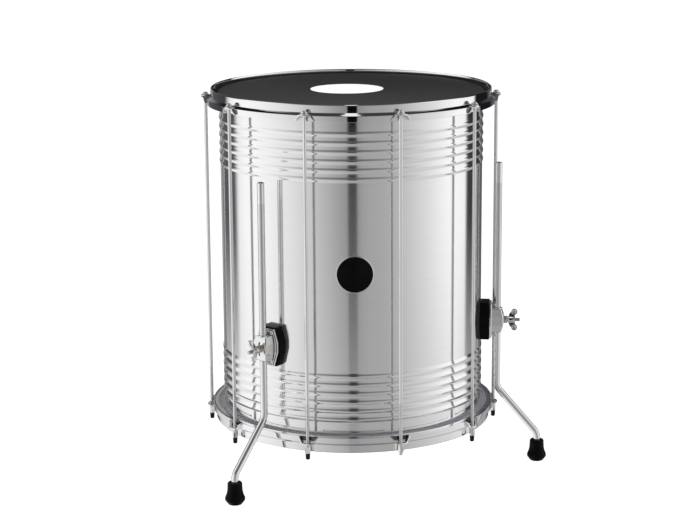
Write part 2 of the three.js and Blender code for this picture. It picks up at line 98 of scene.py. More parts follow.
CLAMP = SHELL_FOOT + 167.8
GASKET_FACE = 243.9
PLATE_BACK = 244.2
PLATE_FACE = 248.7
BLOCK_FACE = 268.9
BLOCK_CROWN = 3.6
CLAMP_FLAT = 16.0
TUBE_CIRCLE = 257.7
WASHER_BACK = 269.2
WING_BACK = 276.5
WING_FACE = 289.3
WING_THICKNESS = 2.8
WING_RISE = 13.8
STUD_RADIUS = 3.0
STUD_TIP = 297.7
THREAD_DEPTH = 0.38
SCREW_RISE = 26.5
BACKING_WIDTH = 18
BACKING_HEIGHT = 62
CAVITY_RADIUS = 10.1
CAVITY_HEIGHT = 22
SLOT_WIDTH = 2.8
SLOT_LENGTH = 24
FACE_CUT = 8
LEGS = {"left": -36, "right": 84, "rear": 204}
WING_TURNS = {"left": -12, "right": 6, "rear": 0}

TUBE_RADIUS = 6.0
TUBE_WALL = 1.2
TUBE_BORE = 6.57
TUBE_TOP = CLAMP + 281.6
UPPER_BEND = CLAMP - 123.4
LOWER_BEND = UPPER_BEND - 82.5
UPPER_RADIUS = 26.0
LOWER_RADIUS = 22.0
LEG_REACH = 73.2
LEG_TURN = -6.0
FLOOR = LOWER_BEND - 49.5
FOOT_SEAT = 12
FOOT_HEIGHT = 38
FLUTES = 24
FLUTE_DEPTH = 0.4
LEG_DRAW = 235.0
KNURL_TOP = TUBE_TOP - 36
KNURL_FOOT = CLAMP - 24

BADGE_HEIGHT = MIDDLE + 10
BADGE_TURN = 0.7
BADGE_BORDER = 30.1

FINE = 256
FINEST = 320
WHITE = (1, 1, 1, 1)
PHOTO_WIDTH = 700
LENS_PIXELS = 1950
LENS_DROP = 12.585


# Shader helpers

class Nodes:
    """Nodes of a shader tree. An input's value is a socket to link or a plain value to set."""

    def __init__(self, tree):
        self.tree = tree

    def put(self, value, socket):
        if isinstance(value, bpy.types.NodeSocket):
            self.tree.links.new(value, socket)
        else:
            socket.default_value = value

    def add(self, kind, inputs=None, **settings):
        made = self.tree.nodes.new("ShaderNode" + kind)
        for key, value in settings.items():
            setattr(made, key, value)
        for key, value in (inputs or {}).items():
            self.put(value, made.inputs[key])
        return made

    def effect(self, group, **inputs):
        """Adds a shader node group and gives its outputs."""
        return self.add("Group", inputs, node_tree=group).outputs

    def calc(self, operation, first, second=0.0, third=0.0):
        return self.add("Math", {0: first, 1: second, 2: third}, operation=operation).outputs[0]

    def times(self, first, second):
        return self.calc("MULTIPLY", first, second)

    def weigh(self, value, weight, start):
        """A start value plus a weighted one."""
        return self.calc("MULTIPLY_ADD", value, weight, start)

    def remap(self, value, low, high, to_low, to_high):
        return self.add("MapRange", {"Value": value, "From Min": low, "From Max": high, "To Min": to_low,
                                     "To Max": to_high}).outputs["Result"]

    def mix(self, factor, first, second):
        """Blends two colours by a factor."""
        return self.add("Mix", {0: factor, 6: first, 7: second}, data_type="RGBA").outputs[2]

    def ramp(self, factor, stops):
        """Colour ramp of (position, grey or colour) stops."""
        made = self.add("ValToRGB", {"Fac": factor})
        band = made.color_ramp
        while len(band.elements) < len(stops):
            band.elements.new(0.5)
        for element, (position, value) in zip(band.elements, stops):
            element.position = position
            element.color = value if isinstance(value, tuple) else (value, value, value, 1)
        return made.outputs["Color"]

    def noise(self, place, scale, detail, roughness, distortion=0.0):
        return self.add("TexNoise", {
            "Vector": place, "Scale": scale, "Detail": detail, "Roughness": roughness,
            "Distortion": distortion}).outputs["Fac"]

    def cells(self, place, scale, feature):
        return self.add("TexVoronoi", {"Vector": place, "Scale": scale}, feature=feature).outputs["Distance"]

    def stretched(self, place, scale):
        return self.add("Mapping", {"Vector": place, "Scale": scale}).outputs["Vector"]

    def split(self, place):
        return self.add("SeparateXYZ", {"Vector": place}).outputs

    def away(self, place, kept=(1, 1, 0)):
        """Distance from the origin along the kept axes."""
        flat = self.add("VectorMath", {0: place, 1: kept}, operation="MULTIPLY")
        return self.add("VectorMath", {0: flat.outputs["Vector"]}, operation="LENGTH").outputs["Value"]


def effect_group(name, inputs, outputs):
    """Starts a shader node group: inputs are (name, socket type, start value), outputs are names."""
    tree = bpy.data.node_groups.new(name, "ShaderNodeTree")
    for label, kind, value in inputs:
        socket = tree.interface.new_socket(label, in_out="INPUT", socket_type="NodeSocket" + kind)
        if value is not None:
            socket.default_value = value
    for label in outputs:
        tree.interface.new_socket(label, in_out="OUTPUT", socket_type="NodeSocketFloat")
    given, made = tree.nodes.new("NodeGroupInput").outputs, tree.nodes.new("NodeGroupOutput").inputs
    return Nodes(tree), given, made


def brush_effect():
    """Long fine lines of a brushed or ground surface, stretched by Scale."""
    net, given, made = effect_group("brush_lines", [
        ("Place", "Vector", None), ("Scale", "Vector", (6, 6, 900))], ["Mask", "Height"])
    place = net.stretched(given["Place"], given["Scale"])
    coarse = net.noise(place, 1.0, 3.0, 0.65)
    fine = net.noise(place, 3.1, 2.0, 0.7)
    both = net.weigh(fine, 0.45, net.times(coarse, 0.55))
    net.put(net.remap(both, 0.36, 0.64, 0.0, 1.0), made["Mask"])
    net.put(both, made["Height"])
    return net.tree


def smudge_effect():
    """Soft clouds left by hands and cloths, and thin hairline scratches."""
    net, given, made = effect_group("smudges", [
        ("Place", "Vector", None), ("Scale", "Float", 14.0)], ["Cloud", "Scratch"])
    cloud = net.noise(given["Place"], given["Scale"], 4.0, 0.6, 0.6)
    net.put(net.remap(cloud, 0.35, 0.7, 0.0, 1.0), made["Cloud"])
    cells = net.cells(net.stretched(given["Place"], (1, 1, 0.13)), 60.0, "DISTANCE_TO_EDGE")
    line = net.remap(cells, 0.0, 0.016, 1.0, 0.0)
    sparse = net.remap(cloud, 0.5, 0.62, 0.0, 1.0)
    net.put(net.times(line, sparse), made["Scratch"])
    return net.tree


def grain_effect():
    """Close grain of a moulded or coated surface, with sparse specks."""
    net, given, made = effect_group("grain", [
        ("Place", "Vector", None), ("Scale", "Float", 900.0)], ["Height", "Speck"])
    noise = net.noise(given["Place"], given["Scale"], 3.0, 0.7)
    net.put(net.weigh(net.cells(given["Place"], given["Scale"], "F1"), 0.4, noise), made["Height"])
    wide = net.noise(given["Place"], 160.0, 5.0, 0.8)
    net.put(net.remap(wide, 0.63, 0.72, 0.0, 1.0), made["Speck"])
    return net.tree


BRUSH = brush_effect()
SMUDGE = smudge_effect()
GRAIN = grain_effect()


class Finish(Nodes):
    """A material with a Principled shader."""

    def __init__(self, name, **values):
        self.made = bpy.data.materials.new(name)
        self.made.use_nodes = True
        super().__init__(self.made.node_tree)
        self.inputs = self.tree.nodes["Principled BSDF"].inputs
        self.set(**values)

    def set(self, **values):
        """Feeds the shader's inputs: a socket to link or a plain value."""
        for key, value in values.items():
            self.put(value, self.inputs[key.replace("_", " ")])

    def place(self):
        return self.add("TexCoord").outputs["Object"]

    def bump(self, height, strength, distance):
        bump = self.add("Bump", {"Height": height, "Strength": strength, "Distance": distance})
        self.set(Normal=bump.outputs["Normal"])


def solid(colour):
    return tuple(colour) + (1,)


def brushed_shell_material():
    net = Finish("brushed_aluminium", Metallic=0.96, Specular_IOR_Level=0.1, Anisotropic=0.4,
                 Anisotropic_Rotation=0.25)
    place = net.place()
    lines = net.effect(BRUSH, Place=place, Scale=(5, 5, 1500))
    sheet = net.effect(BRUSH, Place=place, Scale=(3, 3, 180))
    marks = net.effect(SMUDGE, Place=place, Scale=7.0)
    tone = net.weigh(sheet["Mask"], 0.4, net.times(lines["Mask"], 0.6))
    net.set(Base_Color=net.mix(tone, (0.915, 0.914, 0.918, 1), (0.965, 0.963, 0.963, 1)),
            Roughness=net.weigh(marks["Cloud"], 0.02, net.remap(tone, 0, 1, 0.112, 0.088)))
    net.bump(lines["Height"], 0.03, 0.0003)
    net.set(Tangent=net.add("Tangent", direction_type="RADIAL", axis="Z").outputs["Tangent"])
    return net.made


def polished_material(name, colour, rough, scale=16.0):
    """Polished or plated metal with faint smudges and hairlines."""
    net = Finish(name, Metallic=1.0)
    marks = net.effect(SMUDGE, Place=net.place(), Scale=scale)
    worn = solid(c * 0.93 for c in colour)
    clouded = net.weigh(marks["Cloud"], 0.05, rough)
    net.set(Base_Color=net.mix(marks["Cloud"], solid(colour), worn),
            Roughness=net.weigh(marks["Scratch"], 0.12, clouded))
    net.bump(marks["Scratch"], 0.04, 0.0001)
    return net.made


def channel_material():
    """Aluminium channel of a flesh hoop: bright inside, with painted shade darkening its outside."""
    net = Finish("channel_metal", Metallic=1.0)
    place = net.place()
    lines = net.effect(BRUSH, Place=place, Scale=(4, 4, 700))
    bright = net.mix(lines["Mask"], (0.90, 0.895, 0.91, 1), (0.95, 0.948, 0.955, 1))
    # Painted shade: beyond this radius the channel's outside is coloured dark violet, standing in for the
    # shade behind the hoop.
    outside = net.remap(net.away(place), (FLESH_OUTER - 1.4) * MM, (FLESH_OUTER - 0.8) * MM, 0, 1)
    net.set(Base_Color=net.mix(outside, bright, (0.13, 0.122, 0.145, 1)),
            Roughness=net.remap(lines["Mask"], 0, 1, 0.2, 0.14))
    net.bump(lines["Height"], 0.03, 0.0003)
    return net.made


def hoop_material():
    """Polished steel with the faint drawn lines of a rolled strip, and painted shade along its step."""
    net = Finish("polished_steel", Metallic=1.0)
    place = net.place()
    lines = net.effect(BRUSH, Place=place, Scale=(4, 4, 700))
    marks = net.effect(SMUDGE, Place=place, Scale=18.0)
    colour = net.mix(lines["Mask"], (0.90, 0.90, 0.905, 1), (0.95, 0.948, 0.948, 1))
    away = net.away(place)
    spot = net.split(place)
    level = net.calc("ABSOLUTE", net.calc("SUBTRACT", spot["Z"], MIDDLE * MM))
    # Painted shade: a dark violet band is painted along the step, between wall and skirt. On the top hoop it
    # is left out near the front and back.
    across = net.times(net.remap(away, (WALL_RADIUS + 0.2) * MM, (WALL_RADIUS + 0.8) * MM, 0, 1),
                       net.remap(away, (SKIRT_RADIUS - 0.5) * MM, (SKIRT_RADIUS - 0.1) * MM, 1, 0))
    low, high = SKIRT_TOP - MIDDLE, STEP_TOP - MIDDLE
    along = net.times(net.remap(level, (low - 0.6) * MM, low * MM, 0, 1),
                      net.remap(level, high * MM, (high + 0.5) * MM, 1, 0))
    aside = net.calc("MAXIMUM", net.remap(net.calc("ABSOLUTE", spot["X"]), 0.014, 0.020, 0, 1),
                     net.calc("LESS_THAN", spot["Z"], MIDDLE * MM))
    shade = net.times(net.times(across, along), net.times(aside, 0.5))
    rough = net.weigh(marks["Cloud"], 0.02, net.remap(lines["Mask"], 0, 1, 0.06, 0.035))
    net.set(Base_Color=net.mix(shade, colour, (0.06, 0.053, 0.07, 1)),
            Roughness=net.weigh(marks["Scratch"], 0.12, rough))
    net.bump(lines["Height"], 0.02, 0.0003)
    return net.made


def threaded_material(name, colour, rough, below, pitch=1.0):
    """Plated rod whose end below a height is threaded, with painted shade on its side towards the shell and
    in the thread's hollows.
    """
    net = Finish(name, Metallic=1.0)
    place = net.place()
    marks = net.effect(SMUDGE, Place=place, Scale=30.0)
    height = net.split(place)["Z"]
    threaded = net.calc("LESS_THAN", height, below * MM)
    turn = net.calc("SINE", net.times(height, 2 * pi / (pitch * MM)))
    ridge = net.times(net.weigh(turn, 0.5, 0.5), threaded)
    groove = net.times(net.calc("SUBTRACT", 1.0, ridge), threaded)
    # Painted shade: the side of the rod that faces the shell is painted dark violet.
    behind = net.remap(net.away(place), (ROD_CIRCLE - 2.4) * MM, (ROD_CIRCLE - 0.6) * MM, 0.62, 0.0)
    plated = net.mix(behind, solid(colour), (0.09, 0.087, 0.095, 1))
    clouded = net.weigh(marks["Cloud"], 0.06, rough)
    # Painted shade: the thread's hollows are painted darker than its ridges.
    net.set(Base_Color=net.mix(net.times(groove, 0.8), plated, solid(c * 0.7 for c in colour)),
            Roughness=net.weigh(threaded, 0.10, clouded))
    net.bump(ridge, 0.5, 0.0003)
    return net.made


def leg_material():
    """Chromed leg: plain at its top and below the clamp's reach, finely knurled between."""
    net = Finish("leg_chrome", Metallic=1.0)
    place = net.place()
    marks = net.effect(SMUDGE, Place=place, Scale=24.0)
    lines = net.effect(BRUSH, Place=place, Scale=(900, 900, 14))
    height = net.split(place)["Z"]
    knurled = net.times(net.calc("LESS_THAN", height, KNURL_TOP * MM),
                        net.calc("GREATER_THAN", height, KNURL_FOOT * MM))
    colour = net.mix(knurled, (0.93, 0.93, 0.935, 1), (0.88, 0.88, 0.89, 1))
    scratched = net.weigh(marks["Scratch"], 0.12, net.weigh(marks["Cloud"], 0.03, 0.05))
    net.set(Base_Color=net.mix(net.times(lines["Mask"], knurled), colour, (0.74, 0.735, 0.75, 1)),
            Roughness=net.weigh(knurled, 0.16, scratched))
    net.bump(net.times(lines["Height"], knurled), 0.35, 0.0003)
    return net.made


def film_material(name, printed):
    """Black coated film with a fine suede grain, rub marks, painted light towards the front and a bare
    collar, or a white printed disc.
    """
    net = Finish(name, Specular_IOR_Level=0.2)
    place = net.place()
    grain = net.effect(GRAIN, Place=place, Scale=700.0)
    marks = net.effect(SMUDGE, Place=place, Scale=5.0)
    streaks = net.effect(BRUSH, Place=place, Scale=(9, 240, 1))
    wear = net.weigh(streaks["Mask"], 0.3, net.times(marks["Cloud"], 0.5))
    black = net.mix(wear, (0.015, 0.014, 0.014, 1), (0.026, 0.0245, 0.024, 1))
    # Painted light: the film's colour is made lighter towards the front.
    front = net.remap(net.split(place)["Y"], 0.1, -0.2, 0.0, 1.0)
    black = net.mix(front, black, (0.038, 0.0365, 0.0375, 1))
    speckled = net.mix(net.times(grain["Speck"], 0.35), black, (0.09, 0.088, 0.088, 1))
    if printed:
        centred = net.add("Mapping", {"Vector": place, "Location": (0.007, -0.008, 0)}).outputs["Vector"]
        disc = net.remap(net.away(centred), DISC_RADIUS * MM, (DISC_RADIUS + 0.5) * MM, 1.0, 0.0)
        ink = net.mix(net.times(marks["Cloud"], 0.4), (0.93, 0.93, 0.925, 1), (0.84, 0.84, 0.835, 1))
        speckled = net.mix(disc, speckled, ink)
    else:
        collar = net.remap(net.away(place), (SHELL_RADIUS - 1) * MM, SHELL_RADIUS * MM, 0.0, 1.0)
        speckled = net.mix(collar, speckled, (0.75, 0.74, 0.78, 1))
    net.set(Base_Color=speckled, Roughness=net.weigh(grain["Height"], 0.08, 0.52))
    net.bump(grain["Height"], 0.25, 0.0002)
    return net.made


def soft_material(name, colour, worn, rough, scale, bump, gloss=0.4):
    """Moulded rubber or plastic with a close grain and dusty, rubbed patches."""
    net = Finish(name, Specular_IOR_Level=gloss)
    place = net.place()
    grain = net.effect(GRAIN, Place=place, Scale=scale)
    marks = net.effect(SMUDGE, Place=place, Scale=40.0)
    tint = net.mix(net.times(marks["Cloud"], 0.6), solid(colour), solid(worn))
    dusty = solid(c * 2.2 for c in worn)
    net.set(Base_Color=net.mix(net.times(grain["Speck"], 0.3), tint, dusty),
            Roughness=net.weigh(marks["Cloud"], 0.12, rough))
    net.bump(grain["Height"], bump, 0.0002)
    return net.made


def badge_material():
    """Black enamel with a bright metal border."""
    net = Finish("badge_enamel", Specular_IOR_Level=0.12)
    place = net.place()
    marks = net.effect(SMUDGE, Place=place, Scale=40.0)
    sideways = SHELL_RADIUS * sin(radians(BADGE_TURN))
    centre = (-sideways * MM, 0, -BADGE_HEIGHT * MM)
    centred = net.add("Mapping", {"Vector": place, "Location": centre}).outputs["Vector"]
    border = net.remap(net.away(centred, (1, 0, 1)), BADGE_BORDER * MM, (BADGE_BORDER + 0.2) * MM, 0.0, 1.0)
    enamel = net.mix(marks["Cloud"], (0.001, 0.001, 0.0011, 1), (0.003, 0.003, 0.0032, 1))
    net.set(Base_Color=net.mix(border, enamel, (0.9, 0.9, 0.905, 1)), Metallic=border,
            Roughness=net.weigh(marks["Cloud"], 0.05, net.remap(border, 0, 1, 0.22, 0.14)))
    return net.made


SHELL_FINISH = brushed_shell_material()
HOOP_FINISH = hoop_material()
CHANNEL_FINISH = channel_material()
CHROME = polished_material("chrome", (0.93, 0.93, 0.935), 0.05)
ROD_FINISH = threaded_material("rod_chrome", (0.95, 0.95, 0.955), 0.13, TAB_BELOW + THREADED_LENGTH)
NUT_FINISH = polished_material("zinc_steel", (0.86, 0.85, 0.83), 0.12, scale=60.0)
BRASS = polished_material("brass", (0.72, 0.635, 0.55), 0.2, scale=90.0)
LEG_FINISH = leg_material()
FILM_TOP = film_material("black_film_printed", True)
FILM_PLAIN = film_material("black_film", False)
RUBBER = soft_material("black_rubber", (0.0015, 0.0015, 0.0018), (0.005, 0.005, 0.0055),
                       0.30, 1100.0, 0.10, 0.07)
CAP_PLASTIC = soft_material("black_plastic", (0.003, 0.003, 0.0035), (0.008, 0.008, 0.009),
                            0.28, 1600.0, 0.1, 0.25)
BADGE_FINISH = badge_material()
# Painted shade: a near-black finish for thin strips at the clamps' seams and crosses on their screw heads.
PAINTED_SHADE_FINISH = soft_material("painted_shade", (0.01, 0.01, 0.011), (0.02, 0.02, 0.021), 0.6, 900.0, 0.1)


# Mesh helpers, in millimetres

def corner_curve(start, corner, end, steps=6):
    """Points of a smooth bend between two points, pulled towards a corner."""
    start, corner, end = Vector(start), Vector(corner), Vector(end)
    shares = [k / steps for k in range(steps + 1)]
    return [tuple(start.lerp(corner, t).lerp(corner.lerp(end, t), t)) for t in shares]


def rounded(points, steps=4):
    """A profile whose points may carry a corner radius: (radius, height, corner)."""
    made = []
    for i, point in enumerate(points):
        corner = Vector(point[:2])
        if len(point) < 3 or not point[2]:
            made.append(tuple(corner))
            continue
        back = Vector(points[i - 1][:2]) - corner
        ahead = Vector(points[(i + 1) % len(points)][:2]) - corner
        reach = min(point[2] / tan(back.angle(ahead) / 2), back.length * 0.49, ahead.length * 0.49)
        made += corner_curve(corner + back.normalized() * reach, corner,
                             corner + ahead.normalized() * reach, steps)
    return made


def verts_in(geometry):
    return [g for g in geometry if isinstance(g, bmesh.types.BMVert)]


def edges_in(geometry):
    return [g for g in geometry if isinstance(g, bmesh.types.BMEdge)]


def loop_edges(bm, verts):
    """Joins vertices into a closed loop."""
    return [bm.edges.new(pair) for pair in zip(verts, verts[1:] + verts[:1])]


def profile_line(bm, points):
    """Draws a closed profile of (radius, height) points at the front."""
    verts = [bm.verts.new((0.0, -radius, height)) for radius, height in points]
    return verts + loop_edges(bm, verts)


def spun(points, steps, rounds=4):
    """Spins a closed profile of (radius, height) or (radius, height, corner) points round the Z axis."""
    bm = bmesh.new()
    bmesh.ops.spin(bm, geom=profile_line(bm, rounded(points, rounds)), cent=(0, 0, 0), axis=(0, 0, 1),
                   angle=2 * pi, steps=steps, use_merge=True)
    bmesh.ops.remove_doubles(bm, verts=bm.verts, dist=0.0005)
    bmesh.ops.recalc_face_normals(bm, faces=bm.faces)
    return bm


def plug(radius, low, high, steps):
    """A plain cylinder round Z between two heights."""
    return spun([(0, low), (radius, low), (radius, high), (0, high)], steps)


def slab(outline, depth):
    """A plate from a flat outline of (x, y) points, thickened along Z from 0 to depth."""
    bm = bmesh.new()
    face = bm.faces.new([bm.verts.new((x, y, 0)) for x, y in outline])
    grown = bmesh.ops.extrude_face_region(bm, geom=[face])
    bmesh.ops.translate(bm, verts=verts_in(grown["geom"]), vec=(0, 0, depth))
    bmesh.ops.recalc_face_normals(bm, faces=bm.faces)
    return bm


def bar(width, height, depth, corner=0.0, steps=4):
    """A rectangular plate with round corners, thickened along Z."""
    x, y = width / 2, height / 2
    corners = [(x, y, corner), (-x, y, corner), (-x, -y, corner), (x, -y, corner)]
    return slab(rounded(corners, steps), depth)


def drawn(bm, edges, vec, scale=1.0):
    """Extends open edges by a vector, scaled about the Z axis, and returns the new ones."""
    grown = bmesh.ops.extrude_edge_only(bm, edges=edges)["geom"]
    moved = verts_in(grown)
    bmesh.ops.scale(bm, verts=moved, vec=(scale, scale, 1))
    bmesh.ops.translate(bm, verts=moved, vec=vec)
    return edges_in(grown)


def lay(bm, out=0.0, height=0.0, angle=0.0, axis="Z"):
    """Turns a body by degrees about an axis, then moves it outwards at the front, and up."""
    bm.transform(Matrix.Translation((0, -out, height)) @ Matrix.Rotation(radians(angle), 4, axis))
    return bm


def lay_outward(bm, height=0.0):
    """Turns a body made along Z so that its height becomes the distance from the drum's axis."""
    return lay(bm, 0, height, 90, "X")


def upside_down(bm):
    """Turns a body of the batter side over to the resonant side."""
    return lay(bm, 0, 2 * MIDDLE, 180, "X")


def soften(bm, width, segments=2, above=25, flats=False):
    """Rounds every edge that is sharper than an angle; a narrow border keeps large faces flat."""
    edges = [e for e in bm.edges if len(e.link_faces) == 2 and e.calc_face_angle(0) > radians(above)]
    bmesh.ops.bevel(bm, geom=edges, offset=width, offset_type="OFFSET", segments=segments, profile=0.5,
                    affect="EDGES", clamp_overlap=True, material=-1)
    if flats:
        wide = [f for f in bm.faces if f.calc_area() > 40 * width * width]
        bmesh.ops.inset_individual(bm, faces=wide, thickness=0.25 * width, use_even_offset=True)
    return bm


def mesh_of(bm, name):
    """Turns a working body into a mesh."""
    mesh = bpy.data.meshes.new(name)
    bm.to_mesh(mesh)
    bm.free()
    return mesh


def link(name, data):
    """Makes an object in the scene."""
    made = bpy.data.objects.new(name, data)
    bpy.context.scene.collection.objects.link(made)
    return made


def join(*parts):
    """Puts several bodies into one mesh."""
    whole = bmesh.new()
    for part in parts:
        held = mesh_of(part, "held")
        whole.from_mesh(held)
        bpy.data.meshes.remove(held)
    return whole


def cut(body, *tools):
    """Cuts tools out of a body and returns the rest."""
    target, *cutters = [link("working", mesh_of(bm, "working")) for bm in (body, *tools)]
    for cutter in cutters:
        step = target.modifiers.new("cut", "BOOLEAN")
        step.operation = "DIFFERENCE"
        step.solver = "EXACT"
        step.object = cutter
    graph = bpy.context.evaluated_depsgraph_get()
    mesh = bpy.data.meshes.new_from_object(target.evaluated_get(graph))
    rest = bmesh.new()
    rest.from_mesh(mesh)
    bpy.data.meshes.remove(mesh)
    for used in [target, *cutters]:
        held = used.data
        bpy.data.objects.remove(used)
        bpy.data.meshes.remove(held)
    bmesh.ops.remove_doubles(rest, verts=rest.verts, dist=0.001)
    bmesh.ops.dissolve_degenerate(rest, edges=rest.edges, dist=0.001)
    return rest


def piece(bm, name, finish, body, node=None, angle=0.0, smooth=32):
    """Makes a finished piece in metres, turned to its angle round the drum, and lets it ride."""
    bm.transform(Matrix.Scale(MM, 4) @ Matrix.Rotation(radians(angle), 4, "Z"))
    mesh = mesh_of(bm, name)
    mesh.materials.append(finish)
    mesh.polygons.foreach_set("use_smooth", [True] * len(mesh.polygons))
    mesh.set_sharp_from_angle(angle=radians(smooth))
    made = link(name, mesh)
    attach(made, body)
    if node:
        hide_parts(node)


# Shell, heads and hoops

def bead(crest):
    """One rolled bead from its upper to its lower edge, as a smooth swell."""
    steps = 14
    made = []
    for k in range(steps + 1):
        side = 1 - 2 * k / steps
        swell = BEAD_HEIGHT * (1 + cos(pi * side)) / 2
        made.append((SHELL_RADIUS + swell, crest + side * BEAD_WIDTH / 2))
    return made


def shell_body():
    """Rolled shell: narrow borders beside the beads keep the sheet between them straight."""
    outside = [(SHELL_RADIUS - SHELL_EDGE, SHELL_TOP), (SHELL_RADIUS, SHELL_TOP - SHELL_EDGE),
               (SHELL_RADIUS, SHELL_TOP - 2 * SHELL_EDGE)]
    for first in (TOP_BEAD, FOOT_BEAD + BEAD_PITCH * (BEADS - 1)):
        last = first - BEAD_PITCH * (BEADS - 1)
        outside.append((SHELL_RADIUS, first + BEAD_WIDTH / 2 + SHELL_BORDER))
        for i in range(BEADS):
            outside += bead(first - BEAD_PITCH * i)
        outside.append((SHELL_RADIUS, last - BEAD_WIDTH / 2 - SHELL_BORDER))
    outside += [(SHELL_RADIUS, SHELL_FOOT + 2 * SHELL_EDGE), (SHELL_RADIUS, SHELL_FOOT + SHELL_EDGE),
                (SHELL_RADIUS - SHELL_EDGE, SHELL_FOOT)]
    inside = SHELL_RADIUS - SHELL_WALL
    return spun(outside + [(inside, SHELL_FOOT), (inside, SHELL_TOP)], FINE)


def head_body():
    """Film that rolls over the shell's edge and down into its flesh hoop."""
    edge = SHELL_RADIUS + FILM_OVERHANG
    return spun([
        (0, 0), (edge, 0, 3), (FLESH_INNER + 1.4, FLESH_TOP + 0.3, 1), (FLESH_INNER + 1.6, FLESH_TOP - 1.5),
        (FLESH_INNER + 1.1, FLESH_TOP - 1.5), (FLESH_INNER + 0.9, FLESH_TOP + 0.1, 1),
        (edge - FILM, -FILM, 2.5), (0, -FILM)], FINE)


def flesh_hoop_body():
    """Channel ring that holds the edge of a film."""
    near, far = FLESH_INNER + 0.7, FLESH_INNER + 1.9
    return spun([
        (FLESH_INNER, FLESH_TOP, 1.0), (near, FLESH_TOP, 0.2), (near, FLESH_TOP - 2), (far, FLESH_TOP - 2),
        (far, FLESH_TOP, 0.2), (FLESH_OUTER, FLESH_TOP, 1.0), (FLESH_OUTER, FLESH_FOOT, 1.2),
        (FLESH_INNER, FLESH_FOOT, 1.2)], FINE)


def hoop_ring():
    """Rolled rim, upright wall and curved step of a hoop."""
    inner = WALL_RADIUS - GAUGE
    rim = [(inner + out, RIM_TOP - drop) for out, drop in (
        (0, 4.2), (0.1, 2.4), (0.4, 1.2), (0.7, 0.3), (1.0, 0.02), (1.25, 0.06), (1.4, 0.2),
        (GAUGE - 0.05, 1.25), (GAUGE, 1.35))]
    wall = [(WALL_RADIUS, RIM_TOP - 1.7), (WALL_RADIUS, STEP_TOP + 0.9)]
    step = corner_curve((WALL_RADIUS, STEP_TOP + 0.6), (WALL_RADIUS, STEP_TOP),
                        (WALL_RADIUS + 0.7, STEP_TOP - 0.48))
    slope = [(WALL_RADIUS + 0.9, STEP_TOP - 0.62), (SKIRT_RADIUS - 1.0, SKIRT_TOP + 0.69)]
    fall = corner_curve((SKIRT_RADIUS - 0.8, SKIRT_TOP + 0.55), (SKIRT_RADIUS, SKIRT_TOP),
                        (SKIRT_RADIUS, SKIRT_TOP - 0.8))
    foot = SKIRT_SEAM - 0.4
    under = rounded([(SKIRT_RADIUS - GAUGE, foot), (SKIRT_RADIUS - GAUGE, SKIRT_TOP - GAUGE, 0.8),
                     (inner, STEP_TOP - GAUGE / 2 - 0.6, 1.2), (inner, STEP_TOP + 1.2)])
    return spun(rim + wall + step + slope + fall + [(SKIRT_RADIUS, foot)] + under, FINEST)


def skirt_panel(lug):
    """Skirt between two ears, with slanted ends."""
    inner = SKIRT_RADIUS - GAUGE
    span = radians(LUG_SPACING)
    profile = rounded([(SKIRT_RADIUS, SKIRT_SEAM), (SKIRT_RADIUS, SKIRT_FOOT + 0.8),
                       (SKIRT_RADIUS, SKIRT_FOOT, 0.5), (inner, SKIRT_FOOT, 0.5), (inner, SKIRT_SEAM)])
    bm = bmesh.new()
    bmesh.ops.spin(bm, geom=profile_line(bm, profile), cent=(0, 0, 0), axis=(0, 0, 1), angle=span, steps=28)
    for v in bm.verts:
        radius = hypot(v.co.x, v.co.y)
        share = atan2(v.co.x, -v.co.y) / span
        notch = NOTCH_WIDTH / 2 + (NOTCH_TOP - v.co.z) * NOTCH_SLANT
        margin = (notch + 1.0) / SKIRT_RADIUS
        angle = radians(lug) + margin + share * (span - 2 * margin)
        v.co.x = radius * sin(angle)
        v.co.y = -radius * cos(angle)
    bmesh.ops.holes_fill(bm, edges=bm.edges, sides=0)
    bmesh.ops.recalc_face_normals(bm, faces=bm.faces)
    return bm


def ear_body():
    """Pressed ear: a channel of sheet that stands out from the notch, with a rounded tongue."""
    level = TAB_TOP - GAUGE / 2
    line = rounded([(-TAB_FOOT, SKIRT_FOOT + 0.2), (-TAB_BEND, level, 3.4), (TAB_BEND, level, 3.4),
                    (TAB_FOOT, SKIRT_FOOT + 0.2)], 5)
    full = []
    for (x, z), (nx, nz) in zip(line, line[1:]):
        parts = max(1, int(hypot(nx - x, nz - z) / 1.5))
        full += [(x + (nx - x) * k / parts, z + (nz - z) * k / parts) for k in range(parts)]
    full.append(line[-1])
    bm = bmesh.new()
    verts = [bm.verts.new((x, 0, z)) for x, z in full]
    edges = [bm.edges.new(pair) for pair in zip(verts, verts[1:])]
    rows = 8
    for _ in range(rows):
        edges = drawn(bm, edges, (0, -1, 0))
    fold = TAB_TOP - 1
    for v in bm.verts:
        drop = min(1.0, max(0.0, (fold - v.co.z) / (fold - SKIRT_FOOT)))
        back = WALL_RADIUS - 1.2 + 5.4 * min(1.0, drop * 3)
        round_end = sqrt(max(0.0, 1 - (2 * v.co.x / TONGUE_WIDTH) ** 2))
        tongue = TONGUE_LENGTH * round_end if drop < 0.2 else 0.0
        front = SKIRT_RADIUS + 6.3 - 3.6 * drop ** 2 + tongue
        v.co.y = -(back + (front - back) * -v.co.y / rows)
    bmesh.ops.recalc_face_normals(bm, faces=bm.faces)
    if sum(f.normal.z for f in bm.faces) < 0:
        bmesh.ops.reverse_faces(bm, faces=bm.faces)
    bmesh.ops.solidify(bm, geom=bm.faces, thickness=GAUGE)
    tops = [v.co.z for v in bm.verts if abs(v.co.x) < 2]
    bmesh.ops.translate(bm, verts=bm.verts, vec=(0, 0, level - sum(tops) / len(tops)))
    bmesh.ops.recalc_face_normals(bm, faces=bm.faces)
    return soften(bm, 0.55, 2, above=50)


def hoop_body():
    parts = [hoop_ring()]
    for lug in LUG_ANGLES:
        parts += [skirt_panel(lug), lay(ear_body(), angle=lug)]
    return join(*parts)


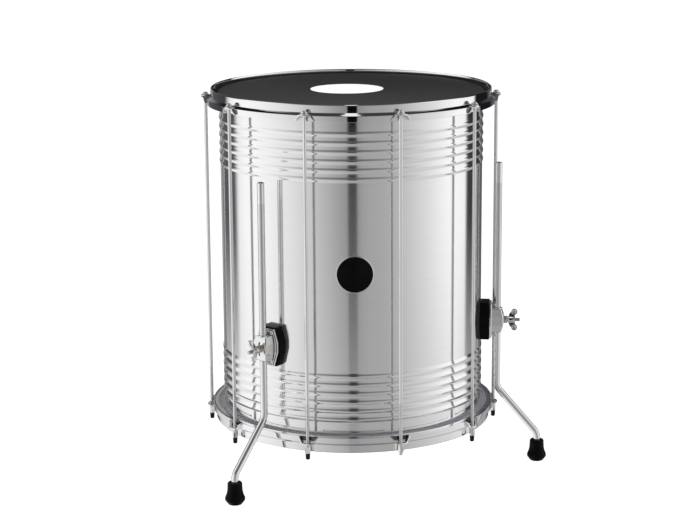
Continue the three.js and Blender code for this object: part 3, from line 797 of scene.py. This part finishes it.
piece(shell_body(), "rolled_shell", SHELL_FINISH, "drum", "shell")
piece(head_body(), "top_film", FILM_TOP, "drum", "batter_head")
piece(upside_down(head_body()), "bottom_film", FILM_PLAIN, "drum", "resonant_head")
piece(flesh_hoop_body(), "top_flesh_hoop", SHELL_FINISH, "drum", None)
piece(upside_down(flesh_hoop_body()), "bottom_flesh_hoop", CHANNEL_FINISH, "drum", None)
piece(hoop_body(), "top_rim_hoop", HOOP_FINISH, "drum", "batter_hoop")
piece(upside_down(hoop_body()), "bottom_rim_hoop", HOOP_FINISH, "drum", "resonant_hoop")


# Rods, nuts and caps

def rod_body():
    """Tension rod with a flanged, domed head."""
    foot = TAB_TOP + 0.3
    top = foot + 6.4
    return lay(spun([
        (0, ROD_TIP), (ROD_RADIUS, ROD_TIP, 0.8), (ROD_RADIUS, foot, 0.3), (7.2, foot, 0.5),
        (7.1, foot + 1.5, 0.7), (5.6, foot + 2.4, 0.6), (5.0, top - 2.6, 1.8), (2.8, top, 1.8),
        (0, top)], 28), ROD_CIRCLE)


def nut_body():
    """Long hexagon nut with a chamfered end, a round collar and an open bore."""
    corner = NUT_APOTHEM / cos(pi / 6)
    bm = spun([
        (BOLT_BORE, NUT_TOP), (5.6, NUT_TOP, 0.3), (5.6, NUT_TOP - 1.3, 0.3), (4.9, NUT_TOP - 1.7, 0.2),
        (4.7, NUT_SHOULDER, 0.3), (corner, NUT_SHOULDER - 0.5, 0.1), (corner, NUT_FOOT + 1.1),
        (corner - 0.9, NUT_FOOT + 0.1, 0.2), (BOLT_BORE, NUT_FOOT)], 72)
    for v in bm.verts:
        radius = hypot(v.co.x, v.co.y)
        if v.co.z < NUT_SHOULDER - 0.2 and radius > BOLT_BORE + 0.25:
            turn = (atan2(v.co.x, -v.co.y) + pi / 6) % (pi / 3) - pi / 6
            scale = min(1.0, NUT_APOTHEM / cos(turn) / radius)
            v.co.x *= scale
            v.co.y *= scale
    return lay(bm, ROD_CIRCLE)


def cap_body():
    """Push-on cap with a rounded tip and a thin lip."""
    top = NUT_FOOT - 0.3
    foot = top - CAP_LENGTH
    return lay(spun([
        (0, foot), (3.6, foot, 3.2), (4.0, top - 1.6, 0.2), (4.2, top - 1.2, 0.2), (4.2, top, 0.35),
        (3.3, top, 0.2), (3.3, top - 5, 0.3), (0, top - 5)], 28, rounds=6), ROD_CIRCLE)


for number, lug in enumerate(LUG_ANGLES, 1):
    piece(rod_body(), f"rod_{number}", ROD_FINISH, "drum", f"tension_rod_{number}", lug)
    nut = f"tension_nut_{number}"
    piece(nut_body(), f"nut_{number}", NUT_FINISH, nut, nut, lug)
    if number != BARE_ROD:
        piece(cap_body(), f"cap_{number}", CAP_PLASTIC, "drum", f"rod_cap_{number}", lug)


# Leg clamps

def stepped(*levels):
    """A closed body over levels of (height, width at the ends, width in the middle, distance out).

    Each level is a long eight-sided outline with a middle flat. A fifth value sets its ends back.
    """
    bm = bmesh.new()
    rings = []
    for height, end_width, middle_width, out, *crown in levels:
        top, end, middle, flat = height / 2, end_width / 2, middle_width / 2, CLAMP_FLAT / 2
        back = sum(crown) - out
        rings.append([bm.verts.new(spot) for spot in (
            (end, back, top), (-end, back, top), (-middle, -out, flat), (-middle, -out, -flat),
            (-end, back, -top), (end, back, -top), (middle, -out, -flat), (middle, -out, flat))])
    last = loop_edges(bm, rings[0])
    for ring in rings[1:]:
        edges = loop_edges(bm, ring)
        bmesh.ops.bridge_loops(bm, edges=last + edges)
        last = edges
    bmesh.ops.holes_fill(bm, edges=[e for e in bm.edges if e.is_boundary], sides=0)
    if crown:
        for near, far in ((2, 7), (3, 6)):
            bmesh.ops.connect_verts(bm, verts=[ring[near], ring[far]])
    bmesh.ops.recalc_face_normals(bm, faces=bm.faces)
    return bm


def gasket_body():
    """Pad behind the clamp, with its back hollowed to follow the shell."""
    pad = (66.6, 34.4, 48.4)
    bm = stepped((*pad, SHELL_RADIUS - 3), (*pad, SHELL_RADIUS + 2.6), (*pad, GASKET_FACE))
    soften(bm, 1.1, 3)
    long_edges = [e for e in bm.edges if abs(e.verts[0].co.x - e.verts[1].co.x) > 8]
    bmesh.ops.subdivide_edges(bm, edges=long_edges, cuts=7, use_grid_fill=True)
    for v in bm.verts:
        seat = sqrt((SHELL_RADIUS + 0.3) ** 2 - v.co.x ** 2)
        if -v.co.y < SHELL_RADIUS + 2.4:
            v.co.y = -(seat + max(0.0, -v.co.y - SHELL_RADIUS + 3) * 0.3)
    return lay(bm, 0, CLAMP)


def housing_body():
    """Clamp housing: stepped plate and waisted block, bored for the leg and slotted in front."""
    plate = stepped((62.8, 30.6, 44.6, PLATE_BACK), (62.8, 30.6, 44.6, PLATE_BACK + 2.8),
                    (61.0, 29.2, 43.0, PLATE_BACK + 3.4), (57.4, 26.2, 39.4, PLATE_BACK + 3.0),
                    (56.6, 25.6, 38.8, PLATE_FACE - 0.2), (55.4, 24.8, 37.8, PLATE_FACE))
    block = stepped((42.6, 27.0, 32.0, PLATE_FACE - 2), (42.4, 26.5, 31.5, PLATE_FACE + 1.2),
                    (41.6, 23.7, 28.7, BLOCK_FACE - 1.5, BLOCK_CROWN),
                    (38.6, 20.7, 25.7, BLOCK_FACE, BLOCK_CROWN))
    soften(plate, 0.25, 1, above=14)
    soften(block, 0.45, 2, above=18)
    bore = lay(plug(TUBE_BORE, -40, 40, 48), TUBE_CIRCLE)
    cavity = lay(plug(CAVITY_RADIUS, -CAVITY_HEIGHT / 2, CAVITY_HEIGHT / 2, 48), TUBE_CIRCLE)
    bottom = BLOCK_FACE - FACE_CUT
    slot = lay(lay_outward(bar(SLOT_WIDTH, SLOT_LENGTH, 14, 1.3, steps=6)), bottom)
    hole = lay_outward(plug(BOLT_BORE, bottom, BLOCK_FACE + 4, 32))
    neck = lay(spun([(TUBE_BORE, 19.2), (TUBE_BORE + 2.2, 19.2), (TUBE_BORE + 2.0, 21.9, 0.8),
                     (TUBE_BORE + 0.2, 22.3, 0.3)], 48), TUBE_CIRCLE)
    return lay(join(plate, cut(block, bore, cavity, slot, hole), neck), 0, CLAMP)


def seam_shade_body():
    """Thin dark strips of painted shade where the block meets its plate and where the plate steps down."""
    foot, step = (44.2, 28.6, 33.6), (58.8, 27.6, 40.8)
    return lay(join(stepped((*foot, PLATE_FACE - 0.4), (*foot, PLATE_FACE + 0.12)),
                    stepped((*step, PLATE_BACK + 2.9), (*step, PLATE_BACK + 3.3))), 0, CLAMP)


def screw_set():
    """Two cross-head screws with their nuts, and the backing plate inside the shell."""
    inside = sqrt((SHELL_RADIUS - SHELL_WALL) ** 2 - (BACKING_WIDTH / 2) ** 2) - 1.2
    parts = []
    for rise in (SCREW_RISE, -SCREW_RISE):
        screw = spun([
            (0, inside - 6), (2.2, inside - 6, 0.4), (2.2, PLATE_FACE + 0.3), (3.2, PLATE_FACE + 0.3, 0.2),
            (3.1, PLATE_FACE + 1.5, 0.7), (1.6, PLATE_FACE + 2.45, 0.6), (0, PLATE_FACE + 2.5)], 24)
        nut = plug(4.0, inside - 6, inside - 2, 6)
        parts += [lay_outward(screw, rise), soften(lay_outward(nut, rise), 0.3)]
    plate = soften(lay_outward(bar(BACKING_WIDTH, BACKING_HEIGHT, 2, 3)), 0.4)
    return lay(join(*parts, lay(plate, inside - 2)), 0, CLAMP)


def screw_cross_shade():
    """Dark crosses of painted shade on the two screw heads, standing in for their recesses."""
    bars = [lay(lay_outward(bar(wide, high, 0.9), rise), PLATE_FACE + 1.65)
            for rise in (SCREW_RISE, -SCREW_RISE) for wide, high in ((2.9, 0.75), (0.75, 2.9))]
    return lay(join(*bars), 0, CLAMP)


def eyebolt_body():
    """Ring round the leg and a threaded stud that comes out of the block."""
    ring = spun([(TUBE_BORE, -3, 0.4), (9.7, -3, 0.8), (9.7, 3, 0.8), (TUBE_BORE, 3, 0.4)], 48)
    root = STUD_RADIUS - THREAD_DEPTH
    profile = [(0, TUBE_CIRCLE + 8.6), (2.7, TUBE_CIRCLE + 8.6)]
    out = BLOCK_FACE - 1
    while out < STUD_TIP - 1.2:
        profile += [(root, out), (STUD_RADIUS, out + 0.35), (STUD_RADIUS, out + 0.6), (root, out + 0.95)]
        out += 1.0
    profile += [(2.5, out), (2.1, STUD_TIP), (0, STUD_TIP)]
    return lay(join(lay(ring, TUBE_CIRCLE), lay_outward(spun(profile, 28))), 0, CLAMP)


def washer_body():
    """Stack of a flat washer and a domed washer, bored for the stud."""
    bm = spun([
        (BOLT_BORE, 0), (6.8, 0, 0.3), (6.8, 1.4, 0.3), (5.7, 1.6, 0.2), (6.3, 2.2, 0.6), (6.4, 5.2, 1.2),
        (4.9, 7, 0.5), (BOLT_BORE, 7)], 40)
    return lay(lay_outward(bm), WASHER_BACK, CLAMP)


def wing_body(turn):
    """Wing nut: a flanged barrel with two wedge arms that carry round dished pads."""
    parts = [lay_outward(spun([
        (BOLT_BORE, WING_BACK), (5.9, WING_BACK, 0.4), (6.2, WING_BACK + 0.8, 0.4),
        (5.7, WING_BACK + 2.0, 0.6), (5.7, WING_FACE - 2.6, 0.6), (6.2, WING_FACE - 1.4, 0.5),
        (6.1, WING_FACE - 0.2, 0.4), (4.4, WING_FACE, 0.4), (BOLT_BORE, WING_FACE - 0.5)], 40))]
    centre, rise = WING_FACE - 1.6, WING_RISE
    for way in (1, -1):
        pad = spun([(0, -0.55), (2.4, -0.8, 1.0), (4.3, -1.6, 0.4), (5.5, -1.6, 0.5),
                    (5.5, 1.6, 0.5), (4.3, 1.6, 0.4), (2.4, 0.8, 1.0), (0, 0.55)], 40)
        parts.append(lay(pad, centre, way * rise, 90, "Y"))
        arm = slab([(WING_BACK + 1.6, way * 4.6), (WING_BACK + 1.6, way * 9.0),
                    (centre - 4.2, way * (rise + 2.6)), (centre - 2.4, way * (rise - 1.6)),
                    (centre + 2.0, way * (rise - 4.0)), (centre + 0.6, way * 5.0)], WING_THICKNESS)
        lay(arm, 0, -WING_THICKNESS / 2)
        # From (outwards, up, across) to the axes of the drum
        arm.transform(Matrix(((0, 0, 1, 0), (-1, 0, 0, 0), (0, 1, 0, 0), (0, 0, 0, 1))))
        bmesh.ops.recalc_face_normals(arm, faces=arm.faces)
        parts.append(soften(arm, 0.4, 2, flats=True))
    return lay(join(*parts), 0, CLAMP, turn, "Y")


# Legs and feet, made round Z and then set on the bore of their clamp

def leg_body():
    """Bent leg: a straight tube drawn down, bent outwards, and bent back to upright."""
    bm = bmesh.new()
    verts = bmesh.ops.create_circle(bm, segments=40, radius=TUBE_RADIUS, cap_ends=False)["verts"]
    lip = TUBE_TOP - TUBE_WALL
    bmesh.ops.translate(bm, verts=verts, vec=(0, 0, lip))
    edges = list({e for v in verts for e in v.link_edges})
    bore = drawn(bm, edges, (0, 0, TUBE_WALL), (TUBE_RADIUS - TUBE_WALL) / TUBE_RADIUS)
    for shrink, sink in ((0.9, -0.15), (0.97, -9.0)):
        bore = drawn(bm, bore, (0, 0, sink), shrink)
    bmesh.ops.contextual_create(bm, geom=bore)

    def bend(open_edges, centre, angle):
        ends = list({v for e in open_edges for v in e.verts})
        grown = bmesh.ops.spin(bm, geom=open_edges + ends, cent=centre, axis=(1, 0, 0), angle=angle,
                               steps=14)
        return edges_in(grown["geom_last"])

    slant = Vector((0, -LEG_REACH, LOWER_BEND - UPPER_BEND))
    along = slant.normalized()
    lean = acos(-along.z)
    upper, lower = UPPER_RADIUS * tan(lean / 2), LOWER_RADIUS * tan(lean / 2)
    edges = drawn(bm, edges, (0, 0, UPPER_BEND + upper - lip))
    edges = bend(edges, (0, -UPPER_RADIUS, UPPER_BEND + upper), -lean)
    edges = drawn(bm, edges, along * (slant.length - upper - lower))
    end = Vector((0, -LEG_REACH, LOWER_BEND)) - along * lower
    edges = bend(edges, end + Vector((0, cos(lean), -sin(lean))) * LOWER_RADIUS, lean)
    edges = drawn(bm, edges, (0, 0, FLOOR + FOOT_SEAT + 0.4 - (LOWER_BEND - lower)))
    bmesh.ops.contextual_create(bm, geom=edges)
    bmesh.ops.remove_doubles(bm, verts=bm.verts, dist=0.0005)
    bmesh.ops.recalc_face_normals(bm, faces=bm.faces)
    return bm


def foot_body():
    """Rubber foot with a fluted neck, a wide flare and a chamfered sole."""
    bore = TUBE_BORE - 0.3
    bm = spun([
        (0, 0.8), (8.5, 0.8, 0.5), (8.9, 0, 0.3), (11.3, 0, 1.2), (16.7, 7.0, 1.6), (17.0, 10.8, 2.2),
        (14.3, 17.5, 6.0), (12.9, 24, 5.0), (12.3, FOOT_HEIGHT - 1.6, 1.2), (11.2, FOOT_HEIGHT, 0.8),
        (bore + 0.8, FOOT_HEIGHT, 0.6), (bore, FOOT_HEIGHT - 1, 0.4), (bore, FOOT_SEAT), (0, FOOT_SEAT)],
        144, rounds=5)
    low, high = 16, 36
    for v in bm.verts:
        radius = hypot(v.co.x, v.co.y)
        if radius > 9 and low < v.co.z < high:
            swell = min(1.0, (v.co.z - low) / 4, (high - v.co.z) / 3)
            flute = 1 - abs(sin(FLUTES / 2 * atan2(v.co.x, -v.co.y))) ** 0.6
            scale = 1 - FLUTE_DEPTH * swell * flute / radius
            v.co.x *= scale
            v.co.y *= scale
    return lay(bm, LEG_REACH, FLOOR)


def on_leg(bm):
    """Turns a leg in its clamp and sets it on the clamp's bore."""
    return lay(bm, TUBE_CIRCLE, 0, LEG_TURN)


for side, angle in LEGS.items():
    piece(gasket_body(), f"pad_{side}", RUBBER, "drum", f"clamp_gasket_{side}", angle)
    piece(housing_body(), f"bracket_{side}", CHROME, "drum", f"clamp_housing_{side}", angle, 8)
    # Painted shade: thin dark strips at the bracket's seams.
    piece(seam_shade_body(), f"bracket_seam_shade_{side}", PAINTED_SHADE_FINISH, "drum", None, angle)
    piece(screw_set(), f"screws_{side}", NUT_FINISH, "drum", f"clamp_fixing_{side}", angle)
    # Painted shade: dark crosses on the screw heads.
    piece(screw_cross_shade(), f"painted_shade_{side}", PAINTED_SHADE_FINISH, "drum", None, angle)
    piece(eyebolt_body(), f"eye_stud_{side}", BRASS, "drum", f"clamp_eyebolt_{side}", angle)
    washer, wing, leg = f"washer_{side}", f"wing_nut_{side}", f"leg_{side}"
    piece(washer_body(), f"washer_stack_{side}", BRASS, washer, f"clamp_washer_{side}", angle)
    piece(wing_body(WING_TURNS[side]), f"wing_{side}", CHROME, wing, wing, angle)
    piece(on_leg(leg_body()), leg, LEG_FINISH, leg, f"leg_tube_{side}", angle)
    piece(on_leg(foot_body()), f"foot_{side}", RUBBER, leg, f"leg_foot_{side}", angle)


# Badge

def badge_body():
    """Thin domed disc with a raised border, bent to the shell."""
    bm = lay_outward(spun([
        (0, 0), (31.6, 0, 0.2), (32.0, 0.5, 0.3), (31.6, 1.6, 0.4), (30.6, 1.6, 0.3), (29.8, 1.0, 0.2),
        (14, 1.15), (0, 1.2)], 96))
    for v in bm.verts:
        radius = SHELL_RADIUS + 0.3 - v.co.y
        turn = v.co.x / SHELL_RADIUS
        v.co.x = radius * sin(turn)
        v.co.y = -radius * cos(turn)
    bmesh.ops.recalc_face_normals(bm, faces=bm.faces)
    return lay(bm, 0, BADGE_HEIGHT)


piece(badge_body(), "round_badge", BADGE_FINISH, "drum", "badge", BADGE_TURN)


# Studio: pale floor, even light, and a wrap of bright panels and dark gaps for the metal

def studio_world():
    world = bpy.data.worlds.new("studio")
    bpy.context.scene.world = world
    world.use_nodes = True
    net = Nodes(world.node_tree)
    direction = net.split(net.add("TexCoord").outputs["Generated"])
    turn = net.calc("ARCTAN2", direction["X"], net.times(direction["Y"], -1.0))
    share = net.weigh(turn, 1 / (2 * pi), 0.5)

    def violet(grey):
        """Tints the darker greys."""
        dim = max(0.0, 1 - grey / 0.3)
        return grey * (1 - 0.02 * dim), grey * (1 - 0.09 * dim), grey * (1 + 0.09 * dim), 1

    def around(panels):
        """Greys all the way round, as (degrees from the front, grey)."""
        return net.ramp(share, [((a + 180) / 360, violet(v)) for a, v in panels])

    def blend(base, axis, low, high, over, most=1.0):
        """Lays a colour over another between two values of the direction along an axis."""
        return net.mix(net.remap(direction[axis], low, high, 0.0, most), base, over)

    level = around([
        (-180, .30), (-165, .44), (-154, .10), (-140, .07), (-124, .05), (-117, .88), (-107, 1.0), (-92, 1.0),
        (-79, .95), (-67, .87), (-55, .79), (-45, .70), (-34, .57), (-24, .46), (-14, .355), (-9.4, .31),
        (-5, .28), (4.6, .28), (10, .33), (15, .36), (25, .38), (35, .43), (45, .54), (56, .645), (68, .75),
        (80, .88), (93, 1.0), (117, .97), (121, .01), (146, .01), (150, .09), (180, .10)])
    lower = around([
        (-180, .16), (-157, .16), (-147, .78), (-133, .93), (-112, .85), (-95, .97), (-75, .88), (-63, .80),
        (-51, .77), (-40, .635), (-30, .59), (-20, .53), (-10, .46), (0, .37), (5, .355), (18, .38),
        (36, .39), (47, .48), (64, .57), (76, .635), (90, .69), (105, .775), (113, .67), (123, .55),
        (135, .48), (150, .42), (157, .16), (180, .16)])
    right = [(13, .12), (30, .20), (45, .35), (60, .55), (80, .80), (100, .95), (115, .95), (122, .01),
             (180, .01)]
    upper = around([(-a, v) for a, v in reversed(right)] + [(0, .05)] + right)
    walls = blend(level, "Z", -0.20, -0.32, lower)
    walls = blend(walls, "Z", 0.30, 0.48, upper)
    walls = blend(walls, "Z", -0.88, -0.95, (0, 0, 0, 1), 0.75)
    walls = blend(walls, "Z", 0.80, 0.90, (0.085, 0.078, 0.095, 1))
    narrow = net.remap(net.calc("ABSOLUTE", direction["X"]), 0.045, 0.06, 1.0, 0.0)
    forward = net.remap(direction["Y"], 0.2, 0.28, 1.0, 0.0)
    high = net.remap(direction["Z"], 0.91, 0.94, 0.0, 1.0)
    walls = net.mix(net.times(net.times(narrow, forward), high), walls, WHITE)
    path = net.add("LightPath").outputs
    seen = net.calc("MAXIMUM", path["Is Camera Ray"], path["Is Transmission Ray"])
    lit = net.mix(path["Is Glossy Ray"], (0.62, 0.605, 0.65, 1), walls)
    background = world.node_tree.nodes["Background"].inputs
    net.put(net.mix(seen, lit, WHITE), background["Color"])
    net.put(1.0, background["Strength"])


def studio_floor():
    """White floor, as low as the feet reach with the legs drawn down, so that it hides none of them."""
    bm = bmesh.new()
    bmesh.ops.create_circle(bm, cap_ends=True, segments=96, radius=40.0)
    bmesh.ops.translate(bm, verts=bm.verts, vec=(0, 0, (FLOOR - LEG_DRAW) * MM))
    net = Finish("pale_floor", Base_Color=(0.25, 0.25, 0.25, 1), Roughness=0.9, Specular_IOR_Level=0.0,
                 Emission_Color=WHITE)
    net.set(Emission_Strength=net.times(net.add("LightPath").outputs["Is Camera Ray"], 0.93))
    floor = link("studio_floor", mesh_of(bm, "studio_floor"))
    floor.data.materials.append(net.made)
    floor.visible_glossy = False


def dark_flag():
    """Tall dark card round the camera, seen only in the polished metal, paler towards its foot."""
    bm = bmesh.new()
    bmesh.ops.create_grid(bm, x_segments=1, y_segments=1, size=0.5)
    bm.transform(Matrix.Translation((0.016, -3.40, 0.2)) @ Matrix.Rotation(radians(90), 4, "X")
                 @ Matrix.Diagonal((0.455, 3.8, 1, 1)))
    net = Finish("dark_card", Base_Color=(0, 0, 0, 1), Specular_IOR_Level=0.0, Emission_Strength=1.0)
    height = net.split(net.place())["Z"]
    net.set(Emission_Color=net.ramp(net.remap(height, -1.65, -0.45, 0.0, 1.0), [
        (0.0, (0.36, 0.351, 0.366, 1)), (0.15, (0.28, 0.272, 0.286, 1)), (0.34, (0.19, 0.183, 0.195, 1)),
        (0.525, (0.105, 0.10, 0.109, 1)), (0.65, (0.052, 0.049, 0.054, 1)), (0.75, (0.027, 0.0255, 0.028, 1)),
        (0.86, (0.02, 0.019, 0.021, 1)), (0.93, 0.002), (1.0, 0.002)]))
    flag = link("dark_flag", mesh_of(bm, "dark_flag"))
    flag.data.materials.append(net.made)
    flag.visible_camera = False
    flag.visible_diffuse = False
    flag.visible_transmission = False
    flag.visible_shadow = False


def lamp(name, size, power, place):
    """A panel of light, turned to the drum."""
    data = bpy.data.lights.new(name, "AREA")
    data.shape = "RECTANGLE"
    data.size, data.size_y = size
    data.energy = power
    made = link(name, data)
    made.location = place
    made.rotation_euler = (Vector((0, 0, -0.3)) - Vector(place)).to_track_quat("-Z", "Y").to_euler()
    made.visible_glossy = False


def camera():
    """Long lens in front of the drum, looking down on it a little."""
    data = bpy.data.cameras.new("photo_camera")
    data.sensor_width = 36
    data.lens = LENS_PIXELS * data.sensor_width / PHOTO_WIDTH
    data.clip_end = 100
    made = link("photo_camera", data)
    turn, roll = (Matrix.Rotation(radians(angle), 4, "Z") for angle in (-0.494, -0.33))
    tilt = Matrix.Rotation(radians(90 - LENS_DROP), 4, "X")
    made.matrix_world = turn @ Matrix.Translation((-0.003355, -3.3694, 0.444)) @ tilt @ roll
    bpy.context.scene.camera = made


studio_world()
studio_floor()
dark_flag()
lamp("key_panel", (1.6, 2.2), 42, (-2.2, -1.9, 1.9))
lamp("fill_panel", (1.6, 2.2), 30, (2.3, -1.7, 1.7))
lamp("top_panel", (1.8, 1.4), 22, (0, -1.3, 1.6))
camera()
bpy.context.scene.view_settings.view_transform = "Standard"
